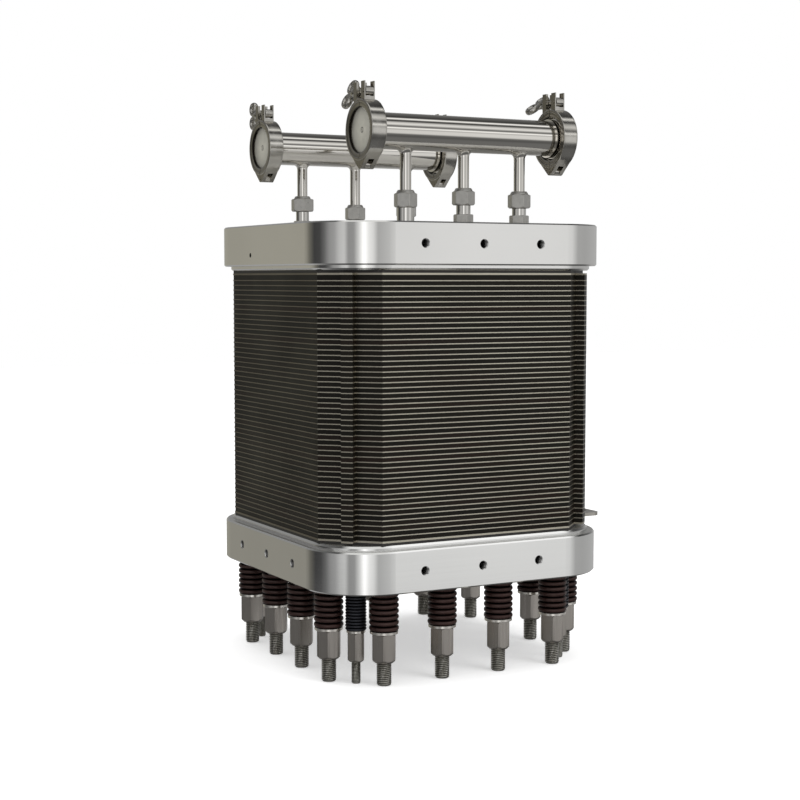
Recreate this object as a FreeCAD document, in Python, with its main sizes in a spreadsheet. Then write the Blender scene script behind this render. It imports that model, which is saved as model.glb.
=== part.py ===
import FreeCAD, Part
import math
import os
import re
import Sketcher

# A PEM electrolyzer stack: fifty square cells pressed between two aluminium end plates by
# sixteen sprung tie rods, with two water and gas manifolds standing on the upper plate.
# Millimetres, +Z up, the manifolds along X, the front face towards -Y. The origin is on the
# stack's axis at the level of the tie rods' tips, on which the unit stands.

# The sizes that a designer sets, in millimetres, degrees or a count
SIZES = {
    # End plates
    "plate_side": 350,
    "plate_thickness": 45,
    "plate_corner": 70,
    "plate_edge": 1.5,
    "land_inset": 8,
    "land_height": 5,
    "land_bevel": 2,
    "face_hole_pitch": 70,
    "face_hole_radius": 5,
    "face_hole_depth": 18,
    "mark_radius": 2.5,
    "mark_depth": 6,
    "mark_along": 40,
    "mark_level": 12,
    # Cell stack
    "plate_overhang": 10,
    "stack_chamfer": 50,
    "cell_count": 50,
    "frame_thickness": 4.2,
    "separator_thickness": 1.3,
    "end_layer": 2,
    "rim_proud": 0.5,
    "insulator_thickness": 3,
    "frame_border": 53,
    "window_clearance": 0.5,
    "ear_width": 13,
    "ear_depth": 10,
    "ear_root": 8,
    "port_radius": 6.5,
    "port_setback": 34.3,
    "gallery_clearance": 1,
    # Current collecting plates and their tabs
    "bus_lap": 5,
    "bus_thickness": 4,
    "tab_clearance": 5,
    "tab_length": 33,
    "tab_corner": 8,
    "tab_hole_radius": 4.5,
    "tab_hole_setback": 10,
    # Tie rods with their disc springs and long nuts
    "rod_radius": 8,
    "rod_setback": 16.5,
    "rod_corner_gap": 10,
    "rod_depth": 30,
    "rod_clearance": 1,
    "thread_clearance": 0.05,
    "corner_rod_radius": 5,
    "corner_rod_setback": 17.8,
    "corner_clearance": 0.5,
    "spring_radius": 15.75,
    "spring_clearance": 0.2,
    "spring_height": 44.8,
    "corner_spring_radius": 11.25,
    "corner_spring_height": 45.6,
    "nut_flats": 24,
    "nut_height": 30.8,
    "corner_nut_flats": 17,
    "corner_nut_height": 31,
    "tip_length": 24.4,
    # Manifolds
    "manifold_level": 94,
    "tube_radius": 19.05,
    "tube_wall": 1.65,
    "clamp_place": 116.25,
    "hub_wall": 1.85,
    "hub_reach": 10,
    "rim_width": 6.2,
    "rim_thickness": 2.85,
    "rim_root_wall": 2.45,
    "rim_taper": 20,
    "gasket_thickness": 1.6,
    "gasket_setback": 0.2,
    "cap_depth": 3.95,
    "riser_radius": 6,
    "riser_wall": 1.2,
    "riser_pitch": 70,
    # Fittings between the upper plate and the risers
    "spigot_clearance": 0.05,
    "spigot_length": 15,
    "base_flats": 19,
    "base_height": 9.5,
    "neck_wall": 1.65,
    "neck_insert": 8,
    "straight_radius": 9.2,
    "fitting_nut_flats": 22,
    "wide_nut_flats": 24,
    "fitting_nut_height": 14.7,
    "fitting_nut_crown": 3.3,
    "crown_wall": 2.6,
    "fitting_clearance": 0.05,
    "seat_front_left": 15.6,
    "seat_front_middle": 19.3,
    "seat_front_right": 17.4,
    "seat_rear_left": 20.7,
    "seat_rear_middle": 12,
    "seat_rear_right": 17,
    # Clamps that hold the blank caps on the manifolds
    "clamp_width": 15.5,
    "clamp_wall": 6.15,
    "clamp_clearance": 0.1,
    "lip_lap": 1.25,
    "jaw_gap": 0.5,
    "jaw_ear_width": 12,
    "jaw_ear_height": 18,
    "near_ear_thickness": 8.1,
    "far_ear_start": 9.5,
    "far_ear_thickness": 7.3,
    "fork_rise": 2.5,
    "fork_clearance": 0.4,
    "pivot_rise": 8.2,
    "pivot_reach": 4.5,
    "pivot_radius": 2,
    "eye_radius": 5,
    "eye_half": 4.4,
    "bolt_radius": 3,
    "bolt_reach": 34,
    "pin_clearance": 0.05,
    "pin_proud": 0.5,
    "hinge_drop": 3.9,
    "hinge_pin_radius": 1.8,
    "knuckle_radius": 4.6,
    "knuckle_half": 3,
    "knuckle_gap": 0.2,
    "wing_hub_radius": 6,
    "wing_hub_length": 9,
    "wing_ring_radius": 8,
    "wing_hole_radius": 4.6,
    "wing_ring_place": 8.6,
    "wing_ring_reach": 17,
    "wing_root": 2,
    "wing_thickness": 3.6,
    "turn_front_left": 25,
    "turn_front_right": 55,
    "turn_rear_left": 0,
    "turn_rear_right": 90,
}

# The sizes that follow from those, each written out in them
FOLLOWING = {
    "stack_half": "plate_side / 2 - plate_overhang",
    "corner_face": "(2 * stack_half - stack_chamfer) / sqrt(2)",
    "rod_row": "stack_half - rod_setback",
    "rod_outer": "stack_half - stack_chamfer - rod_corner_gap",
    "rod_inner": "rod_outer / 3",
    "corner_rod_place": "(corner_face - corner_rod_setback) / sqrt(2)",
    "window_half": "stack_half - frame_border",
    "gallery_width": "2 * (rod_radius + gallery_clearance)",
    "gallery_length": "2 * rod_outer + gallery_width",
    "bus_half": "window_half + bus_lap",
    "tab_centre": "(rod_inner + rod_outer) / 2",
    "tab_width": "rod_outer - rod_inner - 2 * (rod_radius + tab_clearance)",
    "tab_reach": "plate_side / 2 + tab_length",
    "spring_bore": "rod_radius + spring_clearance",
    "corner_spring_bore": "corner_rod_radius + spring_clearance",
    "manifold_spread": "stack_half - port_setback",
    "tube_bore": "tube_radius - tube_wall",
    "hub_radius": "tube_radius + hub_wall",
    "rim_radius": "tube_radius + rim_width",
    "rim_root": "tube_radius + rim_root_wall",
    "gasket_bore": "tube_bore + gasket_setback",
    "riser_bore": "riser_radius - riser_wall",
    "spigot_radius": "port_radius - spigot_clearance",
    "neck_radius": "riser_radius + neck_wall",
    "crown_radius": "riser_radius + crown_wall",
    "clamp_groove": "rim_radius + clamp_clearance",
    "clamp_lip": "rim_radius - lip_lap",
    "clamp_outer": "clamp_groove + clamp_wall",
    "jaw_ear_top": "clamp_outer + jaw_ear_height",
    "fork_floor": "clamp_outer + fork_rise",
    "pivot_level": "clamp_outer + pivot_rise",
    "hinge_level": "clamp_outer + hinge_drop",
    "nut_seat": "far_ear_start + far_ear_thickness",
}

doc = FreeCAD.newDocument("electrolyzer")
sheet = doc.addObject("Spreadsheet::Sheet", "Sizes")
for row, (word, number) in enumerate(SIZES.items(), 1):
    sheet.set("A%d" % row, word)
    sheet.set("B%d" % row, "%g" % number)
    sheet.setAlias("B%d" % row, word)
doc.recompute()


def formula(text):
    """Writes a formula out in the cells of the sheet."""

    def written(match):
        word = match.group(0)
        if word in FOLLOWING:
            return "(%s)" % formula(FOLLOWING[word])
        return "Sizes." + word if word in SIZES else word

    return re.sub(r"[a-z_]+", written, text)


def bind(thing, prop, text):
    thing.setExpression(prop, formula(str(text)))


def place(thing, x, y, z):
    bind(thing, "Placement.Base.x", x)
    bind(thing, "Placement.Base.y", y)
    bind(thing, "Placement.Base.z", z)
    return thing


TURNS = {
    "z": FreeCAD.Rotation(),
    "x": FreeCAD.Rotation(FreeCAD.Vector(0, 1, 0), 90),
    "-x": FreeCAD.Rotation(FreeCAD.Vector(0, 1, 0), -90),
    "y": FreeCAD.Rotation(FreeCAD.Vector(1, 0, 0), -90),
    "-y": FreeCAD.Rotation(FreeCAD.Vector(1, 0, 0), 90),
}


def box(name, x, y, z, length, width, height):
    """A box from its low corner."""
    thing = doc.addObject("Part::Box", name)
    bind(thing, "Length", length)
    bind(thing, "Width", width)
    bind(thing, "Height", height)
    return place(thing, x, y, z)


def cylinder(name, radius, height, x, y, z, axis="z"):
    """A round bar that starts at a point and runs along an axis."""
    thing = doc.addObject("Part::Cylinder", name)
    bind(thing, "Radius", radius)
    bind(thing, "Height", height)
    thing.Placement = FreeCAD.Placement(FreeCAD.Vector(), TURNS[axis])
    return place(thing, x, y, z)


def cone(name, first, second, height, x, y, z, axis="z"):
    """A truncated cone, from its first radius to its second."""
    thing = doc.addObject("Part::Cone", name)
    bind(thing, "Radius1", first)
    bind(thing, "Radius2", second)
    bind(thing, "Height", height)
    thing.Placement = FreeCAD.Placement(FreeCAD.Vector(), TURNS[axis])
    return place(thing, x, y, z)


def hexagon(name, flats, height, x, y, z, turn=0):
    """A hexagonal bar, its size given across the flats."""
    thing = doc.addObject("Part::Prism", name)
    thing.Polygon = 6
    bind(thing, "Circumradius", "(%s) / sqrt(3)" % flats)
    bind(thing, "Height", height)
    thing.Placement = FreeCAD.Placement(FreeCAD.Vector(), FreeCAD.Rotation(FreeCAD.Vector(0, 0, 1), turn))
    return place(thing, x, y, z)


def fuse(name, *parts):
    thing = doc.addObject("Part::MultiFuse", name)
    thing.Shapes = list(parts)
    thing.Refine = True
    return thing


def cut(name, base, *tools):
    tool = tools[0] if len(tools) == 1 else fuse(name + "_tool", *tools)
    thing = doc.addObject("Part::Cut", name)
    thing.Base = base
    thing.Tool = tool
    thing.Refine = True
    return thing


def common(name, base, tool):
    thing = doc.addObject("Part::Common", name)
    thing.Base = base
    thing.Tool = tool
    thing.Refine = True
    return thing


def group(name, *parts):
    """Separate solids of one kind that share a node."""
    thing = doc.addObject("Part::Compound", name)
    thing.Links = list(parts)
    return thing


nodes = []


def node(name, thing):
    thing.Label = name
    nodes.append(thing)
    return thing


def origin_plane(body, role):
    return [f for f in body.Origin.OriginFeatures if f.Role == role][0]


def outline_sketch(body, name, points, level):
    """A closed outline of straight edges on a level plane, each corner bound to the sheet."""
    sketch = body.newObject("Sketcher::SketchObject", name)
    sketch.AttachmentSupport = [(origin_plane(body, "XY_Plane"), "")]
    sketch.MapMode = "FlatFace"
    bind(sketch, "AttachmentOffset.Base.z", level)
    guess = starting_ring(len(points))
    count = len(points)
    for i in range(count):
        a = FreeCAD.Vector(guess[i][0], guess[i][1], 0)
        b = FreeCAD.Vector(guess[(i + 1) % count][0], guess[(i + 1) % count][1], 0)
        sketch.addGeometry(Part.LineSegment(a, b))
    for i in range(count):
        sketch.addConstraint(Sketcher.Constraint("Coincident", i, 2, (i + 1) % count, 1))
    for i, (x, y) in enumerate(points):
        k = sketch.addConstraint(Sketcher.Constraint("DistanceX", -1, 1, i, 1, guess[i][0]))
        bind(sketch, "Constraints[%d]" % k, x)
        k = sketch.addConstraint(Sketcher.Constraint("DistanceY", -1, 1, i, 1, guess[i][1]))
        bind(sketch, "Constraints[%d]" % k, y)
    return sketch


def starting_ring(count):
    """Corners spread over a circle, from which the sketch moves them to their bound places."""
    turn = FreeCAD.Rotation(FreeCAD.Vector(0, 0, 1), 360.0 / count)
    spot = FreeCAD.Vector(SIZES["plate_side"] / 2, SIZES["plate_corner"] / 4, 0)
    ring = []
    for _ in range(count):
        ring.append((spot.x, spot.y))
        spot = turn.multVec(spot)
    return ring


def octagon(half, chamfer):
    """The cell stack's outline: a square with cut corners, anticlockwise from the right side."""
    near = "(%s) - (%s)" % (half, chamfer)
    return [
        (half, "-(%s)" % near), (half, near), (near, half), ("-(%s)" % near, half),
        ("-(%s)" % half, near), ("-(%s)" % half, "-(%s)" % near),
        ("-(%s)" % near, "-(%s)" % half), (near, "-(%s)" % half),
    ]


def octagon_slab(name, half, chamfer, level, height):
    """A padded octagonal slab, made as a body of its own."""
    body = doc.addObject("PartDesign::Body", name)
    sketch = outline_sketch(body, name + "_outline", octagon(half, chamfer), level)
    pad = body.newObject("PartDesign::Pad", name + "_pad")
    pad.Profile = sketch
    bind(pad, "Length", height)
    sketch.Visibility = False
    return body


# Levels, each a sum of the pieces that stand below it
plate_z = "(tip_length + nut_height + spring_height)"
land_z = "(%s + plate_thickness)" % plate_z
insulator_z = "(%s + land_height)" % land_z
stack_z = "(%s + insulator_thickness)" % insulator_z
cells_z = "(%s + end_layer)" % stack_z
pitch = "(frame_thickness + separator_thickness)"
cells_height = "(cell_count * %s)" % pitch
stack_height = "(%s + 2 * end_layer)" % cells_height
upper_insulator_z = "(%s + %s)" % (stack_z, stack_height)
upper_land_z = "(%s + insulator_thickness)" % upper_insulator_z
upper_plate_z = "(%s + land_height)" % upper_land_z
top_z = "(%s + plate_thickness)" % upper_plate_z
manifold_z = "(%s + manifold_level)" % top_z

# The sixteen main rods stand in rows of four along each side, the four thin ones at the corners.
along = ["-rod_outer", "-rod_inner", "rod_inner", "rod_outer"]
main_places = [(a, "-rod_row") for a in along] + [("rod_row", a) for a in along]
main_places += [(a, "rod_row") for a in reversed(along)] + [("-rod_row", a) for a in reversed(along)]
corner_signs = (("", "-"), ("", ""), ("-", ""), ("-", "-"))
corner_places = [(x + "corner_rod_place", y + "corner_rod_place") for x, y in corner_signs]
port_rows = ("-manifold_spread", "manifold_spread")
port_places = [(x, y) for y in port_rows for x in ("-riser_pitch", "0", "riser_pitch")]


def columns(name, places, radius, low, height):
    """Round bars of one size on a set of places."""
    return [cylinder("%s_%d" % (name, i + 1), radius, height, x, y, low) for i, (x, y) in enumerate(places)]


def rounded_sketch(body, name, inset, level):
    """A square with four round corners on a level plane."""
    half = "(plate_side / 2 - (%s))" % inset
    flat = "(plate_side / 2 - plate_corner)"
    sketch = body.newObject("Sketcher::SketchObject", name)
    sketch.AttachmentSupport = [(origin_plane(body, "XY_Plane"), "")]
    sketch.MapMode = "FlatFace"
    bind(sketch, "AttachmentOffset.Base.z", level)
    ends = [
        ("-" + flat, "-" + half, flat, "-" + half), (half, "-" + flat, half, flat),
        (flat, half, "-" + flat, half), ("-" + half, flat, "-" + half, "-" + flat),
    ]
    far = SIZES["plate_side"] / 2
    near = far - SIZES["plate_corner"]
    first = [((-near, -far), (near, -far)), ((far, -near), (far, near))]
    first += [((near, far), (-near, far)), ((-far, near), (-far, -near))]
    up = FreeCAD.Vector(0, 0, 1)
    centres = [(near, -near), (near, near), (-near, near), (-near, -near)]
    for start, end in first:
        sketch.addGeometry(Part.LineSegment(FreeCAD.Vector(*start, 0), FreeCAD.Vector(*end, 0)))
    for i, (x, y) in enumerate(centres):
        low = math.radians(-90 + 90 * i)
        round_off = Part.Circle(FreeCAD.Vector(x, y, 0), up, SIZES["plate_corner"])
        sketch.addGeometry(Part.ArcOfCircle(round_off, low, low + math.pi / 2))
    for i in range(4):
        sketch.addConstraint(Sketcher.Constraint("Coincident", i, 2, 4 + i, 1))
        sketch.addConstraint(Sketcher.Constraint("Coincident", 4 + i, 2, (i + 1) % 4, 1))
    for i, spots in enumerate(ends):
        for corner in (1, 2):
            x, y = spots[2 * corner - 2:2 * corner]
            guess = first[i][corner - 1]
            k = sketch.addConstraint(Sketcher.Constraint("DistanceX", -1, 1, i, corner, guess[0]))
            bind(sketch, "Constraints[%d]" % k, x)
            k = sketch.addConstraint(Sketcher.Constraint("DistanceY", -1, 1, i, corner, guess[1]))
            bind(sketch, "Constraints[%d]" % k, y)
    for i, (x, y) in enumerate(centres):
        k = sketch.addConstraint(Sketcher.Constraint("DistanceX", -1, 1, 4 + i, 3, x))
        bind(sketch, "Constraints[%d]" % k, ("" if x > 0 else "-") + flat)
    sketch.Visibility = False
    return sketch


def edges_at(shape, levels):
    """Names of the edges that lie level at one of the given heights."""
    found = []
    for i, edge in enumerate(shape.Edges):
        ends = edge.BoundBox
        if any(abs(ends.ZMin - z) < 0.01 and abs(ends.ZMax - z) < 0.01 for z in levels):
            found.append("Edge%d" % (i + 1))
    return found


def end_plate_blank(name, slab_z, land_base, land_above):
    """The slab with broken edges and the raised land with its wide bevel, padded in one body."""
    body = doc.addObject("PartDesign::Body", name)
    slab = body.newObject("PartDesign::Pad", name + "_slab")
    slab.Profile = rounded_sketch(body, name + "_slab_outline", "0", slab_z)
    bind(slab, "Length", "plate_thickness")
    doc.recompute()
    reach = slab.Shape.BoundBox
    broken = body.newObject("PartDesign::Chamfer", name + "_broken")
    broken.Base = (slab, edges_at(slab.Shape, (reach.ZMin, reach.ZMax)))
    bind(broken, "Size", "plate_edge")
    land = body.newObject("PartDesign::Pad", name + "_land")
    land.Profile = rounded_sketch(body, name + "_land_outline", "land_inset", land_base)
    bind(land, "Length", "land_height")
    doc.recompute()
    reach = land.Shape.BoundBox
    bevel = body.newObject("PartDesign::Chamfer", name + "_bevel")
    bevel.Base = (land, edges_at(land.Shape, (reach.ZMax if land_above else reach.ZMin,)))
    bind(bevel, "Size", "land_bevel")
    body.Tip = bevel
    doc.recompute()
    return body


def side_holes(name, level, sides):
    """Three plain blind holes in the middle of each named side of a plate."""
    half = "plate_side / 2"
    holes = []
    for side in sides:
        for i, step in enumerate(("-face_hole_pitch", "0", "face_hole_pitch")):
            spots = {
                "front": (step, "-" + half, "y"),
                "back": (step, half, "-y"),
                "left": ("-" + half, step, "x"),
                "right": (half, step, "-x"),
            }
            x, y, axis = spots[side]
            label = "%s_%s_%d" % (name, side, i + 1)
            holes.append(cylinder(label, "face_hole_radius", "face_hole_depth", x, y, level, axis))
    return holes


# Lower end plate, which the tie rods pass through
through = "plate_thickness + land_height"
lower_blank = end_plate_blank("lower_blank", plate_z, land_z, True)
lower_holes = columns("lower_bore", main_places, "rod_radius + rod_clearance", plate_z, through)
corner_bore = "corner_rod_radius + corner_clearance"
lower_holes += columns("lower_corner_bore", corner_places, corner_bore, plate_z, through)
lower_middle = plate_z + " + plate_thickness / 2"
lower_holes += side_holes("lower_face_hole", lower_middle, ("front", "left", "right", "back"))
node("lower_end_plate", cut("lower_end_plate", lower_blank, *lower_holes))

# Upper end plate, into which the tie rods are screwed from below
tap = "rod_radius + thread_clearance"
corner_tap = "corner_rod_radius + thread_clearance"
upper_blank = end_plate_blank("upper_blank", upper_plate_z, upper_land_z, False)
upper_holes = columns("upper_tap", main_places, tap, upper_land_z, "rod_depth")
upper_holes += columns("upper_corner_tap", corner_places, corner_tap, upper_land_z, "rod_depth")
upper_holes += columns("upper_port", port_places, "port_radius", upper_land_z, through)
upper_middle = upper_plate_z + " + plate_thickness / 2"
upper_holes += side_holes("upper_face_hole", upper_middle, ("front", "back"))
mark_z = upper_plate_z + " + mark_level"
upper_holes.append(
    cylinder("upper_mark_hole", "mark_radius", "mark_depth", "-plate_side / 2", "mark_along", mark_z, "x")
)
node("upper_end_plate", cut("upper_end_plate", upper_blank, *upper_holes))


def galleries(name, level, height):
    """Four long slots, each clearing one row of tie rods, and a round hole for each corner rod."""
    start = "-gallery_length / 2"
    slots = []
    for side, sign in (("low", "-"), ("high", "")):
        edge = sign + "rod_row - gallery_width / 2"
        across = (start, edge, level, "gallery_length", "gallery_width", height)
        upright = (edge, start, level, "gallery_width", "gallery_length", height)
        slots.append(box("%s_%s_y" % (name, side), *across))
        slots.append(box("%s_%s_x" % (name, side), *upright))
    slots += columns(name + "_corner", corner_places, "corner_rod_radius + corner_clearance", level, height)
    return slots


def locating_ears(name, level, height):
    """The four small ears, one in the middle of each cut corner of the stack."""
    root = "(corner_face - ear_root)"
    ears = []
    for i in range(4):
        ear = doc.addObject("Part::Box", "%s_%d" % (name, i + 1))
        bind(ear, "Length", "ear_root + ear_depth")
        bind(ear, "Width", "ear_width")
        bind(ear, "Height", height)
        angle = 45 + 90 * i
        ear.Placement = FreeCAD.Placement(FreeCAD.Vector(), FreeCAD.Rotation(FreeCAD.Vector(0, 0, 1), angle))
        out = "%s * cos(%d deg)" % (root, angle)
        up = "%s * sin(%d deg)" % (root, angle)
        shift_x = "ear_width / 2 * sin(%d deg)" % angle
        shift_y = "ear_width / 2 * cos(%d deg)" % angle
        ears.append(place(ear, "%s + %s" % (out, shift_x), "%s - %s" % (up, shift_y), level))
    return ears


def window(name, half, level, height):
    return box(name, "-(%s)" % half, "-(%s)" % half, level, "2 * (%s)" % half, "2 * (%s)" % half, height)


# Lower insulator, a thin plastic sheet with a seat for the bus plate and a notch for its tab
bus_low = "(%s - (bus_thickness - end_layer))" % stack_z
tab_low = "-tab_centre - tab_width / 2"
past_rims = "stack_half + 2 * rim_proud"
notch_width = "tab_width + 2 * window_clearance"
bus_seat = "bus_half + window_clearance"
lower_sheet = octagon_slab("lower_sheet", "stack_half", "stack_chamfer", insulator_z, "insulator_thickness")
lower_sheet_cuts = galleries("lower_sheet_gallery", insulator_z, "insulator_thickness")
lower_sheet_cuts.append(window("lower_bus_seat", bus_seat, bus_low, "bus_thickness"))
lower_sheet_cuts.append(
    box(
        "lower_tab_notch", "0", tab_low + " - window_clearance", bus_low, past_rims,
        notch_width, "bus_thickness",
    )
)
node("lower_insulator", cut("lower_insulator", lower_sheet, *lower_sheet_cuts))

# Upper insulator, the same sheet turned over, with its notch at the back
upper_bus_low = "(%s - end_layer)" % upper_insulator_z
upper_sheet = octagon_slab(
    "upper_sheet", "stack_half", "stack_chamfer", upper_insulator_z, "insulator_thickness"
)
upper_sheet_cuts = galleries("upper_sheet_gallery", upper_insulator_z, "insulator_thickness")
upper_sheet_cuts.append(window("upper_bus_seat", bus_seat, upper_bus_low, "bus_thickness"))
upper_sheet_cuts.append(
    box(
        "upper_tab_notch", tab_low + " - window_clearance", "0", upper_bus_low,
        notch_width, past_rims, "bus_thickness",
    )
)
upper_sheet_cuts += columns(
    "upper_sheet_port", port_places, "port_radius", upper_insulator_z, "insulator_thickness"
)
node("upper_insulator", cut("upper_insulator", upper_sheet, *upper_sheet_cuts))

# Cell frames: fifty moulded frames with the rims of the separators pressed between them, which
# stand a little proud as fine metal lines. The pressed stack is one solid.
proud = "stack_half + rim_proud"
proud_chamfer = "stack_chamfer + rim_proud * (2 - sqrt(2))"
frame_core = octagon_slab("frame_core", "stack_half", "stack_chamfer", stack_z, stack_height)
lower_rim = octagon_slab("lower_rim", proud, proud_chamfer, stack_z, "end_layer")
upper_rim = octagon_slab("upper_rim", proud, proud_chamfer, upper_bus_low, "end_layer")
rims = octagon_slab("rims", proud, proud_chamfer, cells_z + " + frame_thickness", "separator_thickness")
rim_row = rims.newObject("PartDesign::LinearPattern", "rim_row")
rim_row.Originals = [rims.Group[1]]
rim_row.Direction = (origin_plane(rims, "Z_Axis"), [""])
bind(rim_row, "Length", "(cell_count - 2) * " + pitch)
bind(rim_row, "Occurrences", "cell_count - 1")
rims.Tip = rim_row
ears = locating_ears("ear", stack_z, stack_height)
frame_blank = fuse("frame_blank", frame_core, rims, lower_rim, upper_rim, *ears)
frame_cuts = galleries("frame_gallery", stack_z, stack_height)
frame_cuts.append(window("frame_window", "window_half", stack_z, stack_height))
for end, level in (("lower", bus_low), ("upper", upper_bus_low)):
    frame_cuts.append(window(end + "_frame_seat", bus_seat, level, "bus_thickness"))
frame_cuts.append(
    box(
        "lower_frame_notch", "0", tab_low + " - window_clearance", bus_low, past_rims,
        notch_width, "bus_thickness",
    )
)
frame_cuts.append(
    box(
        "upper_frame_notch", tab_low + " - window_clearance", "0", upper_bus_low,
        notch_width, past_rims, "bus_thickness",
    )
)
port_run = "%s - %s" % (upper_insulator_z, cells_z)
frame_cuts += columns("frame_port", port_places, "port_radius", cells_z, port_run)
node("cell_frames", cut("cell_frames", frame_blank, *frame_cuts))

# Separators and membrane assemblies: square sheets stacked in turn inside the frames' window
sheet_half = "(window_half - window_clearance)"


def sheet_stack(name, count, low, thickness, step):
    """Equal square sheets above one another, padded once and repeated upwards."""
    body = doc.addObject("PartDesign::Body", name)
    corners = [(sheet_half, "-" + sheet_half), (sheet_half, sheet_half), ("-" + sheet_half, sheet_half)]
    corners.append(("-" + sheet_half, "-" + sheet_half))
    sketch = outline_sketch(body, name + "_outline", corners, low)
    pad = body.newObject("PartDesign::Pad", name + "_pad")
    pad.Profile = sketch
    bind(pad, "Length", thickness)
    sketch.Visibility = False
    row = body.newObject("PartDesign::LinearPattern", name + "_row")
    row.Originals = [pad]
    row.Direction = (origin_plane(body, "Z_Axis"), [""])
    bind(row, "Length", "(%s - 1) * %s" % (count, step))
    bind(row, "Occurrences", count)
    body.Tip = row
    return body


separator_low = cells_z + " + frame_thickness"
for name, low, thickness in (
    ("separator_plates", separator_low, "separator_thickness"),
    ("membrane_assemblies", cells_z, "frame_thickness"),
):
    node(name, sheet_stack(name, "cell_count", low, thickness, pitch))


def bus_plate(name, level, back):
    """A square collecting plate with a rounded tab that leads out past the rods to a bolt hole."""
    parts = [window(name + "_square", "bus_half", level, "bus_thickness")]
    reach = "(tab_reach - tab_corner)"
    inner = "(tab_width - 2 * tab_corner)"
    corner_a = tab_low + " + tab_corner"
    corner_b = tab_low + " + tab_width - tab_corner"
    spot = ("tab_reach - tab_hole_setback", "-tab_centre")
    if back:
        spot = (spot[1], spot[0])
        parts.append(box(name + "_tab", tab_low, "0", level, "tab_width", reach, "bus_thickness"))
        parts.append(box(name + "_end", corner_a, "0", level, inner, "tab_reach", "bus_thickness"))
        parts.append(cylinder(name + "_round_1", "tab_corner", "bus_thickness", corner_a, reach, level))
        parts.append(cylinder(name + "_round_2", "tab_corner", "bus_thickness", corner_b, reach, level))
    else:
        parts.append(box(name + "_tab", "0", tab_low, level, reach, "tab_width", "bus_thickness"))
        parts.append(box(name + "_end", "0", corner_a, level, "tab_reach", inner, "bus_thickness"))
        parts.append(cylinder(name + "_round_1", "tab_corner", "bus_thickness", reach, corner_a, level))
        parts.append(cylinder(name + "_round_2", "tab_corner", "bus_thickness", reach, corner_b, level))
    hole = cylinder(name + "_bolt_hole", "tab_hole_radius", "bus_thickness", spot[0], spot[1], level)
    return cut(name, fuse(name + "_blank", *parts), hole)


node("lower_bus_plate", bus_plate("lower_bus_plate", bus_low, False))
node("upper_bus_plate", bus_plate("upper_bus_plate", upper_bus_low, True))

# Tie rods, plain bars from the tips up into the tapped holes of the upper plate
rod_top = "(%s + rod_depth)" % upper_land_z
node("tie_rods", group("tie_rods", *columns("tie_rod", main_places, "rod_radius", "0", rod_top)))
node(
    "corner_tie_rods",
    group("corner_tie_rods", *columns("corner_tie_rod", corner_places, "corner_rod_radius", "0", rod_top)),
)

def sleeves(name, places, radius, bore, low, height):
    """Disc springs: each stack of dished washers as one sleeve round its rod."""
    bores = columns(name + "_bore", places, bore, low, height)
    return cut(name, fuse(name + "_blank", *columns(name + "_disc", places, radius, low, height)), *bores)


# Disc springs between the lower plate and the long nuts
spring_low = "(%s - spring_height)" % plate_z
corner_spring_low = "(%s - corner_spring_height)" % plate_z
node(
    "disc_springs",
    sleeves("disc_springs", main_places, "spring_radius", "spring_bore", spring_low, "spring_height"),
)
node(
    "corner_disc_springs",
    sleeves(
        "corner_disc_springs", corner_places, "corner_spring_radius", "corner_spring_bore",
        corner_spring_low, "corner_spring_height",
    ),
)


def long_nuts(name, places, flats, low, height, bore):
    """Hexagonal nuts with plain bores, one on each rod below its springs."""
    bars = [hexagon("%s_%d" % (name, i + 1), flats, height, x, y, low, 30) for i, (x, y) in enumerate(places)]
    return cut(name, fuse(name + "_bars", *bars), *columns(name + "_bore", places, bore, low, height))


node("long_nuts", long_nuts("long_nuts", main_places, "nut_flats", "tip_length", "nut_height", tap))
corner_nut_low = "(%s - corner_nut_height)" % corner_spring_low
node(
    "corner_long_nuts",
    long_nuts(
        "corner_long_nuts", corner_places, "corner_nut_flats", corner_nut_low, "corner_nut_height", corner_tap
    ),
)

# Fittings: a body screwed into each port of the upper plate and a nut that holds the riser in it
seats = ["seat_front_left", "seat_front_middle", "seat_front_right"]
seats += ["seat_rear_left", "seat_rear_middle", "seat_rear_right"]
neck_tops = ["(%s + %s + neck_insert)" % (top_z, seat) for seat in seats]
bodies = []
fitting_nuts = []
for i, ((x, y), seat) in enumerate(zip(port_places, seats)):
    label = "fitting_%d" % (i + 1)
    seat_z = "(%s + %s)" % (top_z, seat)
    neck = "straight_radius" if seat == "seat_front_left" else "neck_radius"
    flats = "wide_nut_flats" if seat == "seat_rear_left" else "fitting_nut_flats"
    spigot = cylinder(label + "_spigot", "spigot_radius", "spigot_length", x, y, top_z + " - spigot_length")
    if seat == "seat_front_left":
        base = cylinder(label + "_base", "straight_radius", seat, x, y, top_z)
    else:
        base = hexagon(label + "_base", "base_flats", "base_height", x, y, top_z, 30)
    stem = cylinder(label + "_neck", "neck_radius", seat + " + neck_insert", x, y, top_z)
    blank = fuse(label + "_blank", spigot, base, stem)
    bore_length = "spigot_length + %s + neck_insert" % seat
    bore = cylinder(label + "_bore", "riser_bore", bore_length, x, y, top_z + " - spigot_length")
    bodies.append(cut(label + "_body", blank, bore))
    hex_nut = hexagon(label + "_hex", flats, "fitting_nut_height", x, y, seat_z, 30)
    crown_z = seat_z + " + fitting_nut_height"
    crown = cone(label + "_crown", "%s / 2" % flats, "crown_radius", "fitting_nut_crown", x, y, crown_z)
    nut_blank = fuse(label + "_nut_blank", hex_nut, crown)
    socket = cylinder(label + "_socket", "neck_radius + fitting_clearance", "neck_insert", x, y, seat_z)
    nut_length = "fitting_nut_height + fitting_nut_crown"
    throat = cylinder(label + "_throat", "riser_radius + fitting_clearance", nut_length, x, y, seat_z)
    fitting_nuts.append(cut(label + "_nut", nut_blank, socket, throat))
node("fitting_bodies", group("fitting_bodies", *bodies))
node("fitting_nuts", group("fitting_nuts", *fitting_nuts))


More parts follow.
